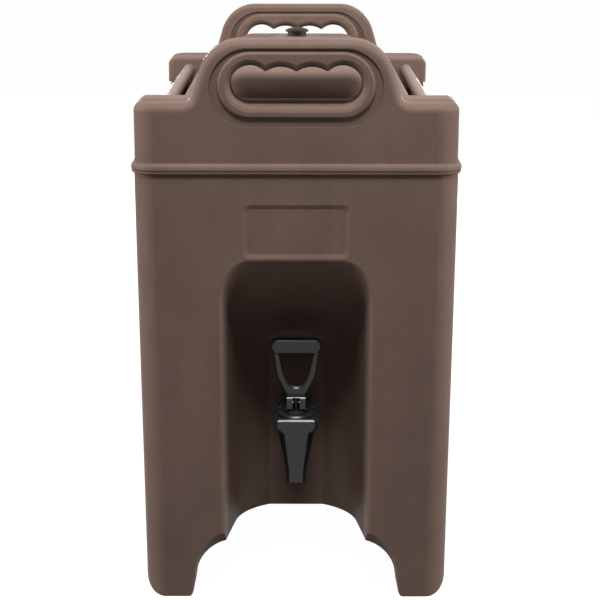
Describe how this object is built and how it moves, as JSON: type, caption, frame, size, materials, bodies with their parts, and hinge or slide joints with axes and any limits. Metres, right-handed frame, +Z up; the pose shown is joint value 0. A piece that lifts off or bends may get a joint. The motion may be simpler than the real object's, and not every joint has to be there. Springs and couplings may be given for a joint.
{
  "type": "insulated beverage dispenser",
  "caption": "Tall foam-insulated drink dispenser with a moulded handle at each end, a lift-off lid held by side latches, a lid vent and a lever tap in a front recess.",
  "frame": {"origin": "centre of the footprint, on the surface it stands on", "axes": "+Z up, -Y towards the tap, +X to the right when seen from the front"},
  "size_m": [0.2636, 0.425, 0.4658],
  "materials": {
    "shell_plastic": "brown rotomoulded plastic, satin",
    "liner_plastic": "brown moulded plastic, smooth",
    "latch_plastic": "brown moulded plastic, glossy",
    "foam": "rigid insulating foam",
    "tap_plastic": "black moulded plastic, glossy",
    "seal_rubber": "black seal rubber",
    "vent_rubber": "dark brown soft plastic",
    "steel": "stainless steel"
  },
  "bodies": {
    "container": {"outer_shell": "shell_plastic", "tank_liner": "liner_plastic", "foam_core": "foam", "tap_body": "tap_plastic", "tap_washer": "seal_rubber", "tank_gasket": "seal_rubber", "shank_nut": "tap_plastic", "tap_bonnet": "tap_plastic", "bonnet_oring": "seal_rubber"},
    "valve_stem": {"tap_stem": "tap_plastic", "seat_cup": "seal_rubber", "stem_spring": "steel"},
    "lever": {"tap_lever": "tap_plastic", "lever_pin": "steel"},
    "lid": {"lid_shell": "shell_plastic", "lid_plug": "liner_plastic", "lid_foam": "foam", "lid_gasket": "seal_rubber", "latch_rod_left": "steel", "latch_rod_right": "steel"},
    "left_latch": {"latch_left": "latch_plastic"},
    "right_latch": {"latch_right": "latch_plastic"},
    "vent": {"vent_cap": "vent_rubber", "vent_stem": "vent_rubber", "vent_seal": "seal_rubber"}
  },
  "joints": [
    {"name": "lid_lift", "type": "slide", "parent": "container", "child": "lid", "axis": [0, 0, 1], "range_m": [0, 0.11]},
    {"name": "latch_left_swing", "type": "hinge", "parent": "lid", "child": "left_latch", "pos_m": [-0.1075, 0, 0.4048], "axis": [0, 1, 0], "range_deg": [0, 175]},
    {"name": "latch_right_swing", "type": "hinge", "parent": "lid", "child": "right_latch", "pos_m": [0.1075, 0, 0.4048], "axis": [0, -1, 0], "range_deg": [0, 175]},
    {"name": "vent_lift", "type": "slide", "parent": "lid", "child": "vent", "axis": [0, 0, 1], "range_m": [0, 0.006]},
    {"name": "tap_stem_lift", "type": "slide", "parent": "container", "child": "valve_stem", "axis": [0, 0, 1], "range_m": [0, 0.0032], "deforming": ["stem_spring"]},
    {"name": "tap_lever_tilt", "type": "hinge", "parent": "valve_stem", "child": "lever", "pos_m": [0, -0.165, 0.1589], "axis": [1, 0, 0], "range_deg": [0, 40], "stiffness_Nm_per_rad": 0.05, "springref_deg": -28.65}
  ],
  "couplings": [
    {"joint": "latch_left_swing", "follows": "lid_lift", "rad_per_m": 27.7},
    {"joint": "latch_right_swing", "follows": "lid_lift", "rad_per_m": 27.7},
    {"joint": "tap_stem_lift", "follows": "tap_lever_tilt", "m_per_rad": 0.0045}
  ]
}
